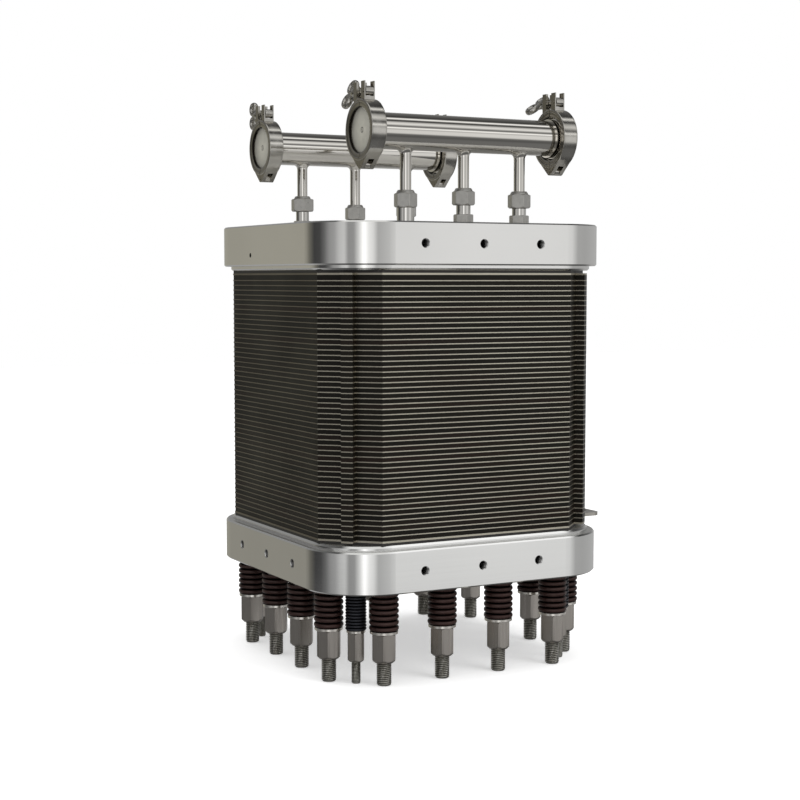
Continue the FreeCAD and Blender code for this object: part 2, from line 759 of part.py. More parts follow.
def manifold(name, y, tops):
    """A steel header tube with a clamp ferrule welded to each end and three risers welded below."""
    far = "(clamp_place - gasket_thickness / 2)"
    tube = cylinder(name + "_tube", "tube_radius", "2 * " + far, "-" + far, y, manifold_z, "x")
    parts = [tube]
    for side, axis, sign in (("left", "x", "-"), ("right", "-x", "")):
        face = sign + far
        step = "%s %s rim_thickness" % (face, "+" if sign else "-")
        run = "(rim_radius - rim_root) * tan(rim_taper * 1 deg)"
        spot = "%s_%s" % (name, side)
        parts.append(cylinder(spot + "_rim", "rim_radius", "rim_thickness", face, y, manifold_z, axis))
        parts.append(cone(spot + "_taper", "rim_radius", "rim_root", run, step, y, manifold_z, axis))
        parts.append(cylinder(spot + "_hub", "hub_radius", "hub_reach", face, y, manifold_z, axis))
    bores = [cylinder(name + "_bore", "tube_bore", "2 * " + far, "-" + far, y, manifold_z, "x")]
    for i, (x, top) in enumerate(zip(("-riser_pitch", "0", "riser_pitch"), tops)):
        height = "%s - %s" % (manifold_z, top)
        parts.append(cylinder("%s_riser_%d" % (name, i + 1), "riser_radius", height, x, y, top))
        bores.append(cylinder("%s_riser_bore_%d" % (name, i + 1), "riser_bore", height, x, y, top))
    return cut(name, fuse(name + "_blank", *parts), *bores)


node("front_manifold", manifold("front_manifold", "-manifold_spread", neck_tops[:3]))
node("rear_manifold", manifold("rear_manifold", "manifold_spread", neck_tops[3:]))

# Blank caps and their gaskets close the manifolds' four ends
clamp_places = [
    ("front_left", "-clamp_place", "-manifold_spread", "-x"),
    ("front_right", "clamp_place", "-manifold_spread", "x"),
    ("rear_left", "-clamp_place", "manifold_spread", "-x"),
    ("rear_right", "clamp_place", "manifold_spread", "x"),
]
caps = []
gaskets = []
for label, x, y, axis in clamp_places:
    sign = "-" if axis == "-x" else "+"
    face = "%s %s gasket_thickness / 2" % (x, sign)
    back = "%s %s rim_thickness" % (face, sign)
    slope = "((cap_depth - rim_thickness) / tan(rim_taper * 1 deg))"
    rim = cylinder("cap_rim_" + label, "rim_radius", "rim_thickness", face, y, manifold_z, axis)
    taper = cone(
        "cap_taper_" + label, "rim_radius", "rim_radius - " + slope, "cap_depth - rim_thickness",
        back, y, manifold_z, axis,
    )
    caps.append(fuse("blank_cap_" + label, rim, taper))
    low = x + " - gasket_thickness / 2"
    ring = cylinder("gasket_disc_" + label, "rim_radius", "gasket_thickness", low, y, manifold_z, "x")
    hole = cylinder("gasket_hole_" + label, "gasket_bore", "gasket_thickness", low, y, manifold_z, "x")
    gaskets.append(cut("gasket_" + label, ring, hole))
node("blank_caps", group("blank_caps", *caps))
node("ferrule_gaskets", group("ferrule_gaskets", *gaskets))


def wedge(name, low, high, half, tip_half):
    """A bar that tapers downwards from one level to another, as wide as the clamp all the way."""
    thing = doc.addObject("Part::Wedge", name)
    for end in ("X", "X2"):
        bind(thing, end + "min", "-clamp_width / 2")
        bind(thing, end + "max", "clamp_width / 2")
    bind(thing, "Ymin", low)
    bind(thing, "Ymax", high)
    bind(thing, "Zmin", "-(%s)" % half)
    bind(thing, "Zmax", half)
    bind(thing, "Z2min", "-(%s)" % tip_half)
    bind(thing, "Z2max", tip_half)
    thing.Placement = FreeCAD.Placement(FreeCAD.Vector(), TURNS["y"])
    return thing


def clamp_half(label, near):
    """One jaw of a hinged clamp at the origin: half a grooved ring, its forked ear and its knuckles.

    Below the ring the jaw tapers to the hinge along the line that touches both ring and knuckle."""
    side_y = "-jaw_ear_top" if near else "jaw_gap"
    ring = cylinder(label + "_ring", "clamp_outer", "clamp_width", "-clamp_width / 2", "0", "0", "x")
    lean = "(clamp_outer - knuckle_radius) / hinge_level"
    level = "sqrt(1 - (%s) ^ 2)" % lean
    tip = "hinge_level + knuckle_radius * %s" % lean
    taper = wedge(
        label + "_taper", "clamp_outer * " + lean, tip, "clamp_outer * " + level, "knuckle_radius * " + level
    )
    side = box(
        label + "_side", "-clamp_width / 2", side_y, "-jaw_ear_top", "clamp_width", "jaw_ear_top - jaw_gap",
        "2 * jaw_ear_top",
    )
    arc = common(label + "_arc", fuse(label + "_drop", ring, taper), side)
    ear = box(
        label + "_ear", "-jaw_ear_width / 2", "-jaw_gap - near_ear_thickness" if near else "far_ear_start",
        "clamp_lip", "jaw_ear_width", "near_ear_thickness" if near else "far_ear_thickness",
        "jaw_ear_top - clamp_lip",
    )
    fork_half = "(%s + fork_clearance)" % ("eye_half" if near else "bolt_radius")
    outer_length = "(clamp_width / 2 - knuckle_half - knuckle_gap)"
    spans = [("-knuckle_half", "2 * knuckle_half")]
    if near:
        spans = [("-clamp_width / 2", outer_length), ("knuckle_half + knuckle_gap", outer_length)]
    parts = [arc, ear]
    for i, (start, length) in enumerate(spans):
        spot = "%s_knuckle_%d" % (label, i + 1)
        parts.append(cylinder(spot, "knuckle_radius", length, start, "0", "-hinge_level", "x"))
    blank = fuse(label + "_blank", *parts)
    run = "((clamp_groove - clamp_lip) * tan(rim_taper * 1 deg))"
    shoulder = "(gasket_thickness / 2 + rim_thickness)"
    bore = "hinge_pin_radius + pin_clearance"
    tools = [
        cylinder(label + "_groove", "clamp_groove", "2 * " + shoulder, "-" + shoulder, "0", "0", "x"),
        cone(label + "_slope_a", "clamp_groove", "clamp_lip", run, shoulder, "0", "0", "x"),
        cone(label + "_slope_b", "clamp_groove", "clamp_lip", run, "-" + shoulder, "0", "0", "-x"),
        cylinder(label + "_lip", "clamp_lip", "clamp_width", "-clamp_width / 2", "0", "0", "x"),
        box(
            label + "_fork", "-" + fork_half, "-clamp_outer", "fork_floor", "2 * " + fork_half,
            "2 * clamp_outer", "clamp_outer",
        ),
        cylinder(label + "_hinge_bore", bore, "clamp_width", "-clamp_width / 2", "0", "-hinge_level", "x"),
    ]
    room = "(knuckle_radius + knuckle_gap)"
    if near:
        pivot_bore = "pivot_radius + pin_clearance"
        slot_half = "(knuckle_half + knuckle_gap)"
        tools.append(
            cylinder(
                label + "_pivot_bore", pivot_bore, "clamp_width", "-clamp_width / 2", "-pivot_reach",
                "pivot_level", "x",
            )
        )
        tools.append(
            box(
                label + "_hinge_slot", "-" + slot_half, "-clamp_outer", "-hinge_level - " + room,
                "2 * " + slot_half, "2 * clamp_outer", "2 * " + room,
            )
        )
    else:
        for part_side, start in (("a", "-knuckle_half - clamp_width"), ("b", "knuckle_half")):
            tools.append(
                cylinder(
                    "%s_room_%s" % (label, part_side), room, "clamp_width", start, "0", "-hinge_level", "x"
                )
            )
    return cut(label + "_jaw", blank, *tools)


def swing_bolt(label):
    """An eye on the pivot pin with a round shank that lies in both forks."""
    start = "-pivot_reach"
    eye = cylinder(label + "_eye", "eye_radius", "2 * eye_half", "-eye_half", start, "pivot_level", "x")
    shank_length = "bolt_reach + pivot_reach"
    shank = cylinder(label + "_shank", "bolt_radius", shank_length, "0", start, "pivot_level", "y")
    hole_radius = "pivot_radius + pin_clearance"
    hole = cylinder(
        label + "_eye_hole", hole_radius, "2 * eye_half", "-eye_half", start, "pivot_level", "x"
    )
    return cut(label + "_bolt", fuse(label + "_bolt_blank", eye, shank), hole)


def wing_nut(label):
    """A round hub with two looped wings, made about the Y axis and later turned on its bolt."""
    thread = "bolt_radius + thread_clearance"
    ring_y = "nut_seat + wing_ring_reach"
    half = "-wing_thickness / 2"
    parts = [
        cylinder(label + "_hub", "wing_hub_radius", "wing_hub_length", "0", "nut_seat", "0", "y"),
        box(
            label + "_web", half, "nut_seat + wing_root", "-wing_ring_place", "wing_thickness",
            "wing_ring_reach - wing_root", "2 * wing_ring_place",
        ),
    ]
    holes = [cylinder(label + "_thread", thread, "2 * wing_ring_reach", "0", "nut_seat", "0", "y")]
    for side, sign in (("up", ""), ("down", "-")):
        z = sign + "wing_ring_place"
        loop = "%s_loop_%s" % (label, side)
        parts.append(cylinder(loop, "wing_ring_radius", "wing_thickness", half, ring_y, z, "x"))
        holes.append(cylinder(loop + "_hole", "wing_hole_radius", "wing_thickness", half, ring_y, z, "x"))
    return cut(label + "_nut", fuse(label + "_nut_blank", *parts), *holes)


jaws_near = []
jaws_far = []
hinge_pins = []
pivot_pins = []
swing_bolts = []
wing_nuts = []
for label, x, y, axis in clamp_places:
    jaws_near.append(place(clamp_half("near_" + label, True), x, y, manifold_z))
    jaws_far.append(place(clamp_half("far_" + label, False), x, y, manifold_z))
    swing_bolts.append(place(swing_bolt("swing_" + label), x, y, manifold_z))
    nut = wing_nut("wing_" + label)
    nut.Placement = FreeCAD.Placement(FreeCAD.Vector(), FreeCAD.Rotation(FreeCAD.Vector(0, 1, 0), 0))
    bind(nut, "Placement.Rotation.Angle", "turn_" + label)
    wing_nuts.append(place(nut, x, y, manifold_z + " + pivot_level"))
    hinge_half = "(clamp_width / 2 + pin_proud)"
    hinge_pins.append(
        cylinder(
            "hinge_pin_" + label, "hinge_pin_radius", "2 * " + hinge_half, x + " - " + hinge_half, y,
            manifold_z + " - hinge_level", "x",
        )
    )
    pivot_half = "(jaw_ear_width / 2 + pin_proud)"
    pivot_pins.append(
        cylinder(
            "pivot_pin_" + label, "pivot_radius", "2 * " + pivot_half, x + " - " + pivot_half,
            y + " - pivot_reach", manifold_z + " + pivot_level", "x",
        )
    )
node("clamp_near_halves", group("clamp_near_halves", *jaws_near))
node("clamp_far_halves", group("clamp_far_halves", *jaws_far))
node("clamp_hinge_pins", group("clamp_hinge_pins", *hinge_pins))
node("clamp_pivot_pins", group("clamp_pivot_pins", *pivot_pins))
node("clamp_swing_bolts", group("clamp_swing_bolts", *swing_bolts))
node("clamp_wing_nuts", group("clamp_wing_nuts", *wing_nuts))

doc.recompute()

for thing in doc.Objects:
    if "Invalid" in thing.State or "Error" in thing.State:
        raise RuntimeError("%s is in the state %s" % (thing.Name, thing.State))
os.makedirs("parts", exist_ok=True)
for thing in nodes:
    shape = thing.Shape
    if shape.isNull() or not shape.isValid() or not shape.Solids:
        raise RuntimeError("%s has no sound shape" % thing.Label)
    shape.exportStep("parts/%s.step" % thing.Label)
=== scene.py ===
import bmesh
import bpy
import math
import numpy as np
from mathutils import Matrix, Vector


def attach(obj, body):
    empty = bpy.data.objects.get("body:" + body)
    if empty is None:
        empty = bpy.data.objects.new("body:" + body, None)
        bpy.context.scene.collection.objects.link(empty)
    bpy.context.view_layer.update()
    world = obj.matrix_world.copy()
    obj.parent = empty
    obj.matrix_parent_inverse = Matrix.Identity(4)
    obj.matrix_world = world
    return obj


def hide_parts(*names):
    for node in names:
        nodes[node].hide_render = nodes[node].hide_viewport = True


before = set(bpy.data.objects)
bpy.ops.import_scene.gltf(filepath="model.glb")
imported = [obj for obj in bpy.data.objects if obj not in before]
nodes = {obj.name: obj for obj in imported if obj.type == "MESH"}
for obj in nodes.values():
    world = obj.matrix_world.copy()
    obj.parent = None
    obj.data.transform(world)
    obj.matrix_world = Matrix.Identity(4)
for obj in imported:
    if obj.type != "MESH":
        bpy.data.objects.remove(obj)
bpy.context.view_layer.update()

# Two thick aluminium squares with large round corners. They are milled from plate, brushed
# along their sides, their edges are broken, and each has a raised land that presses on the stack.


def effect(name, takes, gives):
    """An empty node group with named inputs and outputs, each with the kind of its socket."""
    group = bpy.data.node_groups.new(name, "ShaderNodeTree")
    for way, sockets in (("INPUT", takes), ("OUTPUT", gives)):
        for socket, kind in sockets.items():
            group.interface.new_socket(socket, in_out=way, socket_type="NodeSocket" + kind)
    return group, group.nodes, group.links.new


def noise(n, link, place, fineness, detail=2):
    """Soft noise read at a place. The higher its fineness, the smaller its lumps."""
    lumps = n.new("ShaderNodeTexNoise")
    lumps.inputs["Scale"].default_value = fineness
    lumps.inputs["Detail"].default_value = detail
    link(place, lumps.inputs["Vector"])
    return lumps.outputs["Fac"]


def brushed_lines():
    """Fine lines along a piece: noise over the object's coordinates, each axis multiplied by its own
    grain, so that the lines run long where the grain is low and lie packed where it is high."""
    group, n, link = effect("long grain", {"Grain": "Vector"}, {"Lines": "Float", "Cloud": "Float"})
    inside, outside = n.new("NodeGroupInput"), n.new("NodeGroupOutput")
    place = n.new("ShaderNodeTexCoord")
    spot = n.new("ShaderNodeVectorMath")
    spot.operation = "MULTIPLY"
    link(place.outputs["Object"], spot.inputs[0])
    link(inside.outputs["Grain"], spot.inputs[1])
    link(noise(n, link, spot.outputs[0], 1, 3), outside.inputs["Lines"])
    link(noise(n, link, place.outputs["Object"], 9), outside.inputs["Cloud"])
    return group


long_grain = brushed_lines()


def plain_finish(name, colour, roughness, metallic=1.0):
    """One colour, one roughness and nothing else."""
    material = bpy.data.materials.new(name)
    material.use_nodes = True
    shader = material.node_tree.nodes["Principled BSDF"]
    shader.inputs["Base Color"].default_value = (*colour, 1)
    shader.inputs["Metallic"].default_value = metallic
    shader.inputs["Roughness"].default_value = roughness
    return material, material.node_tree.nodes, material.node_tree.links.new, shader


def spread(n, link, source, low, high, start=0.25, end=0.75):
    """Carries a value from one range to another and stops at its ends. The first range is the middle
    half of a noise, unless its start and end are given."""
    step = n.new("ShaderNodeMapRange")
    step.inputs["From Min"].default_value = start
    step.inputs["From Max"].default_value = end
    step.inputs["To Min"].default_value = low
    step.inputs["To Max"].default_value = high
    link(source, step.inputs["Value"])
    return step.outputs["Result"]


def blend(n, link, share, first, second, way="MIX"):
    """Goes from a first colour to a second as the share goes from 0 to 1. Each colour is three
    numbers or comes from another node."""
    mix = n.new("ShaderNodeMix")
    mix.data_type = "RGBA"
    mix.blend_type = way
    link(share, mix.inputs["Factor"])
    for name, colour in (("A", first), ("B", second)):
        if isinstance(colour, tuple):
            mix.inputs[name].default_value = (*colour, 1)
        else:
            link(colour, mix.inputs[name])
    return mix.outputs["Result"]


def relief(n, link, shader, height, strength, distance):
    """Lets a height stand as a bump in the surface."""
    bump = n.new("ShaderNodeBump")
    bump.inputs["Strength"].default_value = strength
    bump.inputs["Distance"].default_value = distance
    link(height, bump.inputs["Height"])
    link(bump.outputs["Normal"], shader.inputs["Normal"])


def brushed(name, colour, rough, depth, grain=(3, 60, 900)):
    """A brushed metal: the lines vary the roughness and stand as a very shallow bump, and a slow
    cloud of handling marks darkens the colour a little."""
    material, n, link, shader = plain_finish(name, colour, rough)
    lines = n.new("ShaderNodeGroup")
    lines.node_tree = long_grain
    lines.inputs["Grain"].default_value = grain
    link(spread(n, link, lines.outputs["Lines"], rough * 0.75, rough * 1.3), shader.inputs["Roughness"])
    dark, pale = tuple(c * 0.93 for c in colour), tuple(min(1, c * 1.04) for c in colour)
    link(blend(n, link, lines.outputs["Cloud"], dark, pale), shader.inputs["Base Color"])
    relief(n, link, shader, lines.outputs["Lines"], depth, 0.0002)
    return material


def dress(node, material):
    """Gives a solid of the part its material."""
    nodes[node].data.materials.clear()
    nodes[node].data.materials.append(material)


def reckoner(n, link):
    """Gives a function that adds one step of arithmetic, whose items are numbers or come from
    other nodes."""
    def reckon(operation, first, second=0.0):
        step = n.new("ShaderNodeMath")
        step.operation = operation
        for socket, item in zip(step.inputs, (first, second)):
            if isinstance(item, (int, float)):
                socket.default_value = item
            else:
                link(item, socket)
        return step.outputs[0]

    return reckon


def faces_along():
    """Two masks, 1 where a face looks along X or Z, either way, and 0 where it has turned away a
    little: the size of that part of the normal, to the twelfth power."""
    group, n, link = effect("faces along X and Z", {}, {"X": "Float", "Z": "Float"})
    reckon = reckoner(n, link)
    outside = n.new("NodeGroupOutput")
    facing = n.new("ShaderNodeNewGeometry")
    apart = n.new("ShaderNodeSeparateXYZ")
    link(facing.outputs["Normal"], apart.inputs[0])
    for axis in ("X", "Z"):
        size = reckon("ABSOLUTE", apart.outputs[axis])
        link(reckon("POWER", size, 12), outside.inputs[axis])
    return group


flat_faces = faces_along()


def plate_finish(material, side_shade):
    """The wide faces above and below are milled matt. The sides that look along X are painted darker by a
    share, as painted shade.
    """
    n, link = material.node_tree.nodes, material.node_tree.links.new
    shader = n["Principled BSDF"]
    faces = n.new("ShaderNodeGroup")
    faces.node_tree = flat_faces
    own_colour = shader.inputs["Base Color"].links[0].from_socket
    # painted shade: the colour of faces that look along X is multiplied by the share
    painted_side_shade = (side_shade, side_shade * 0.985, min(1, side_shade * 1.02))
    link(blend(n, link, faces.outputs["X"], own_colour, painted_side_shade, "MULTIPLY"), shader.inputs["Base Color"])
    matt = n.new("ShaderNodeMix")
    link(faces.outputs["Z"], matt.inputs["Factor"])
    link(shader.inputs["Roughness"].links[0].from_socket, matt.inputs["A"])
    matt.inputs["B"].default_value = 0.4
    link(matt.outputs["Result"], shader.inputs["Roughness"])
    return material


upper_metal = brushed("brushed aluminium", (0.86, 0.855, 0.835), 0.09, 0.06)
lower_metal = brushed("finer brushed aluminium", (0.84, 0.84, 0.825), 0.1, 0.04)
dress("upper_end_plate", plate_finish(upper_metal, 1.0))
dress("lower_end_plate", plate_finish(lower_metal, 0.8))


# Tapped holes of the end plates. Each has a countersunk mouth that catches the light and a
# thread cut into the aluminium behind it, painted dark as the shade that falls inside the hole.


def wrapped_surface(rows, around, closed=True):
    """Corner numbers of the four-sided faces between neighbouring rows of a surface whose
    columns close on themselves, and whose last row joins the first when it is a ring."""
    i = np.arange(rows if closed else rows - 1)[:, None]
    j = np.arange(around)[None, :]
    k, m = (i + 1) % rows, (j + 1) % around
    return np.stack([i * around + j, i * around + m, k * around + m, k * around + j], -1).reshape(-1, 4)


def solid_of(name, surfaces, material, node, sharp=32):
    """Joins surfaces, each given as rows by columns by XYZ in millimetres, into one mesh with
    doubles merged, faces turned outwards and edges kept sharp above an angle. A surface's last
    item says how deep in a groove each of its points lies, from 0 to 1."""
    corners, faces, depths, base = [], [], [], 0
    for points, ring, groove in surfaces:
        rows, around = points.shape[:2]
        faces.append(wrapped_surface(rows, around, ring) + base)
        corners.append(points.reshape(-1, 3) / 1000)
        depths.append(np.broadcast_to(groove, (rows, around)).ravel())
        base += rows * around
    mesh = bpy.data.meshes.new(name)
    mesh.from_pydata(np.vstack(corners).tolist(), [], np.vstack(faces).tolist())
    mesh.attributes.new("groove", "FLOAT", "POINT").data.foreach_set("value", np.concatenate(depths))
    work = bmesh.new()
    work.from_mesh(mesh)
    bmesh.ops.remove_doubles(work, verts=work.verts, dist=2e-6)
    bmesh.ops.recalc_face_normals(work, faces=work.faces)
    work.to_mesh(mesh)
    work.free()
    mesh.shade_smooth()
    mesh.set_sharp_from_angle(angle=math.radians(sharp))
    mesh.materials.append(material)
    thing = bpy.data.objects.new(name, mesh)
    bpy.context.scene.collection.objects.link(thing)
    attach(thing, "root")
    if node:
        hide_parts(node)


def turned(profile, place, along=(0, 0, 1), around=56, groove=None, ring=True):
    """A profile of radius and distance carried round an axis: each point is the place, plus the
    radius times the cosine and sine of the angle across the axis, plus the distance along it."""
    axis = np.array(along, float)
    across = np.array((1.0, 0, 0)) if abs(axis[2]) > 0.5 else np.array((0, 0, 1.0))
    other = np.cross(axis, across)
    angle = np.linspace(0, 2 * np.pi, around, endpoint=False)[None, :, None]
    radius, distance = profile[:, 0][:, None, None], profile[:, 1][:, None, None]
    outward = np.cos(angle) * across + np.sin(angle) * other
    points = np.array(place, float) + distance * axis + radius * outward
    depth = np.zeros((len(profile), 1)) if groove is None else np.array(groove, float)[:, None]
    return points, ring, depth


def worn_and_grooved():
    """An uneven cloud goes from a dark to a light colour, and both go over to a third colour in
    the grooves, which the mesh marks from 0 to 1: a painted shade."""
    takes = {"Dark": "Color", "Light": "Color", "Groove": "Color", "Cloud Size": "Float"}
    group, n, link = effect("worn and grooved", takes, {"Colour": "Color", "Cloud": "Float"})
    inside, outside = n.new("NodeGroupInput"), n.new("NodeGroupOutput")
    depth = n.new("ShaderNodeAttribute")
    depth.attribute_name = "groove"
    place = n.new("ShaderNodeTexCoord")
    cloud = n.new("ShaderNodeTexNoise")
    cloud.inputs["Detail"].default_value = 4
    link(place.outputs["Object"], cloud.inputs["Vector"])
    link(inside.outputs["Cloud Size"], cloud.inputs["Scale"])
    worn = blend(n, link, cloud.outputs["Fac"], inside.outputs["Dark"], inside.outputs["Light"])
    grooved = blend(n, link, depth.outputs["Fac"], worn, inside.outputs["Groove"])
    link(grooved, outside.inputs["Colour"])
    link(cloud.outputs["Fac"], outside.inputs["Cloud"])
    return group


wear_and_grooves = worn_and_grooved()


def two_tone(name, colour, groove_shade_colour, rough, cloud_size=60, rubbed=None, metallic=1.0):
    """A metal that goes over to a darker colour in its grooves, as painted shade, with an uneven
    gloss. Where it is rubbed it is a fifth lighter, or has a colour of its own."""
    material, n, link, shader = plain_finish(name, colour, rough, metallic)
    wear = n.new("ShaderNodeGroup")
    wear.node_tree = wear_and_grooves
    wear.inputs["Dark"].default_value = (*[c * 0.8 for c in colour], 1)
    wear.inputs["Light"].default_value = (*(rubbed or [min(1, c * 1.2) for c in colour]), 1)
    wear.inputs["Groove"].default_value = (*groove_shade_colour, 1)
    wear.inputs["Cloud Size"].default_value = cloud_size
    link(wear.outputs["Colour"], shader.inputs["Base Color"])
    link(spread(n, link, wear.outputs["Cloud"], rough * 0.75, rough * 1.35), shader.inputs["Roughness"])
    return material


half_side, hole_pitch, upper_level, lower_level = 175, 70, 462.5, 122.5
hole_radius, root, crest, bottom = 4.97, 4.7, 4.25, 16.2
thread_start, half_pitch, half_turns = 1.2, 0.5, np.arange(30)
thread = np.stack([crest + (root - crest) * (half_turns % 2), -thread_start - half_pitch * half_turns], -1)
mouth = [(hole_radius, -bottom), (hole_radius, -0.05), (4.2, -0.95)]
lining = np.vstack([mouth, thread, [(4.2, -bottom)]])
# how deep in the hole each point lies: the material paints it dark there, as painted shade
hole_shade = [0.2, 0.0, 0.15] + [0.75] * len(half_turns) + [0.8]
holes = []
for level, sides in ((upper_level, ((0, -1), (0, 1))), (lower_level, ((0, -1), (0, 1), (-1, 0), (1, 0)))):
    for x, y in sides:
        for step in (-hole_pitch, 0, hole_pitch):
            spot = (half_side * x + step * abs(y), half_side * y + step * abs(x), level)
            holes.append(turned(lining, spot, (x, y, 0), 32, hole_shade))
thread_metal = two_tone("tapped aluminium", (0.85, 0.85, 0.83), (0.05, 0.048, 0.045), 0.25)
solid_of("tapped_hole_linings", holes, thread_metal, None, 40)

# Insulators, thin sheets of dark plastic cut with square edges. One lies between each land and
# the stack and keeps the end plates free of current.
sheet_plastic = plain_finish("dark sheet plastic", (0.02, 0.018, 0.016), 0.5, 0.0)[0]
dress("upper_insulator", sheet_plastic)
dress("lower_insulator", sheet_plastic)

# Fifty moulded frames of dark plastic pressed together. Between them the separators' metal rims
# stand proud by half a millimetre and show as fine pale lines.


def stack_paint():
    """Reads the height above the first frame, divided by the pitch: the part after the point is
    dark frame up to the rim, and metal above that. The end layers are metal as well. The rims
    are painted pale along the front and back and dark on the other two sides: painted light and shade."""
    first_frame, pitch, frame_height, stack_height, cells = 0.155, 0.0055, 0.00445, 0.275, 50
    material, n, link, shader = plain_finish("frames and rims", (0.03, 0.025, 0.02), 0.4)
    shader.inputs["Specular IOR Level"].default_value = 0.16
    place = n.new("ShaderNodeTexCoord")
    split = n.new("ShaderNodeSeparateXYZ")
    link(place.outputs["Object"], split.inputs[0])
    reckon = reckoner(n, link)
    height = reckon("SUBTRACT", split.outputs["Z"], first_frame)
    count = reckon("DIVIDE", height, pitch)
    rim = reckon("GREATER_THAN", reckon("FRACT", count), frame_height / pitch)
    above = reckon("GREATER_THAN", height, stack_height)
    end_layers = reckon("MAXIMUM", reckon("LESS_THAN", height, 0), above)
    below_last = reckon("LESS_THAN", count, cells - 0.5)
    metal = reckon("MAXIMUM", reckon("MULTIPLY", rim, below_last), end_layers)
    tone = n.new("ShaderNodeTexWhiteNoise")
    tone.noise_dimensions = "1D"
    link(reckon("FLOOR", count), tone.inputs["W"])
    warm = noise(n, link, place.outputs["Object"], 14)
    frames = n.new("ShaderNodeValToRGB")
    frames.color_ramp.elements[0].color = (0.0045, 0.004, 0.0028, 1)
    frames.color_ramp.elements[1].color = (0.017, 0.0085, 0.006, 1)
    frames.color_ramp.elements.new(0.5).color = (0.008, 0.0068, 0.0042, 1)
    shade = reckon("ADD", tone.outputs["Value"], warm)
    link(reckon("MULTIPLY", shade, 0.5), frames.inputs["Fac"])
    facing = n.new("ShaderNodeNewGeometry")
    apart = n.new("ShaderNodeSeparateXYZ")
    link(facing.outputs["Normal"], apart.inputs[0])
    # painted light and shade: rims on faces that look along X are dark, on the front and back pale
    rim_side_shade = reckon("POWER", reckon("ABSOLUTE", apart.outputs["X"]), 2.0)
    lit_and_shaded_rims = blend(n, link, rim_side_shade, (0.70, 0.66, 0.55), (0.24, 0.215, 0.175))
    link(blend(n, link, metal, frames.outputs["Color"], lit_and_shaded_rims), shader.inputs["Base Color"])
    link(metal, shader.inputs["Metallic"])
    link(spread(n, link, warm, 0.32, 0.5), shader.inputs["Roughness"])
    return material


dress("cell_frames", stack_paint())

# Separator plates of thin metal, and membranes with their porous sheets. Both lie sealed inside
# the frames and never show.
dress("separator_plates", plain_finish("separator metal", (0.4, 0.39, 0.37), 0.4)[0])
dress("membrane_assemblies", plain_finish("membrane", (0.05, 0.045, 0.04), 0.8, 0.0)[0])

# Bus plates, plated copper sheets that collect the current at both ends of the stack. A tab of
# each leaves the stack, with a hole for a cable's lug.
bus_metal = brushed("plated copper", (0.50, 0.48, 0.44), 0.3, 0.1, (60, 60, 60))
dress("lower_bus_plate", bus_metal)
dress("upper_bus_plate", bus_metal)

# Threaded steel bars, sixteen of M16 along the sides and four of M10 at the corners. They
# hang from the upper plate, and the unit stands on their chamfered tips.


def threaded_bar(x, y, radius, pitch, depth, low, threaded, high, chamfer, around=40):
    """A bar about a vertical axis whose radius falls and rises with the height divided by the
    thread's pitch less the angle, so the ridge climbs once a turn. Tip and shank are plain."""
    angle = np.linspace(0, 2 * np.pi, around, endpoint=False)[None, :]
    count = int(round((threaded - low) / pitch * 6))
    z = np.linspace(low, threaded, count)[:, None]
    phase = (z / pitch - angle / (2 * np.pi)) % 1.0
    dip = np.clip(np.abs(phase - 0.5) * 2.6 - 0.2, 0, 1)
    r = np.minimum(radius - depth * dip, radius - chamfer + (z - low))
    z = np.broadcast_to(z, r.shape)
    top = np.array([[threaded + 0.2, radius], [high, radius], [high, 0]])
    bottom = np.array([[low, 0.0]])
    z = np.vstack([np.repeat(bottom[:, :1], around, 1), z, np.repeat(top[:, :1], around, 1)])
    r = np.vstack([np.repeat(bottom[:, 1:], around, 1), r, np.repeat(top[:, 1:], around, 1)])
    # how deep in the thread each point lies, which the material paints near black as painted shade
    thread_shade = np.vstack([np.zeros((1, around)), dip, np.zeros((3, around))])
    return np.stack([x + r * np.cos(angle), y + r * np.sin(angle), z], -1), False, thread_shade


near, far, row, corner = 35.0, 105.0, 148.5, 127.41
shank_top = 465.0
main_spots = [(a, side * row) for side in (-1, 1) for a in (-far, -near, near, far)]
main_spots += [(side * row, a) for side in (-1, 1) for a in (-far, -near, near, far)]
corner_spots = [(a, b) for a in (-corner, corner) for b in (-corner, corner)]
# the thread's grooves are painted near black, as painted shade
rod_steel = two_tone("rolled steel with painted thread shade", (0.86, 0.83, 0.77), (0.05, 0.045, 0.035), 0.3)
bars = [threaded_bar(x, y, 8.0, 2.0, 1.2, 0.0, 25.0, shank_top, 1.4) for x, y in main_spots]
solid_of("threaded_tie_rods", bars, rod_steel, "tie_rods", 50)
bars = [threaded_bar(x, y, 5.0, 1.5, 0.9, 0.0, 24.0, shank_top, 1.0, 32) for x, y in corner_spots]
solid_of("threaded_corner_rods", bars, rod_steel, "corner_tie_rods", 50)

# Disc springs. Dished washers of phosphated spring steel are threaded on each rod in pairs, edge
# to edge, with a plain washer under the last pair. They keep the stack pressed while it warms
# and cools.


def spring_profile(outer, inner, low, high, pairs):
    """The outside of the pairs, one above another. Each rim bulges like half an ellipse over three
    quarters of the pitch, and a deep notch follows. The straight hole closes the profile. The
    second list says how deep in a notch each point lies."""
    step = (high - low) / pairs
    swing = np.linspace(-1, 1, 9)
    rim = np.stack([outer * (0.895 + 0.105 * np.sqrt(1 - swing ** 2)), (0.5 + 0.39 * swing) * step], -1)
    pair = np.vstack([[(max(outer * 0.78, inner + 0.5), 0.0)], rim])
    points = np.vstack([pair + (0, low + i * step) for i in range(pairs)])
    notch_shade = np.concatenate([[1.0], np.clip((1.0 - np.sqrt(1 - swing ** 2)) * 1.1 - 0.1, 0, 1)])
    points = np.vstack([points, [(max(outer * 0.78, inner + 0.5), high), (inner, high), (inner, low)]])
    return points, list(notch_shade) * pairs + [1.0, 1.0, 1.0]


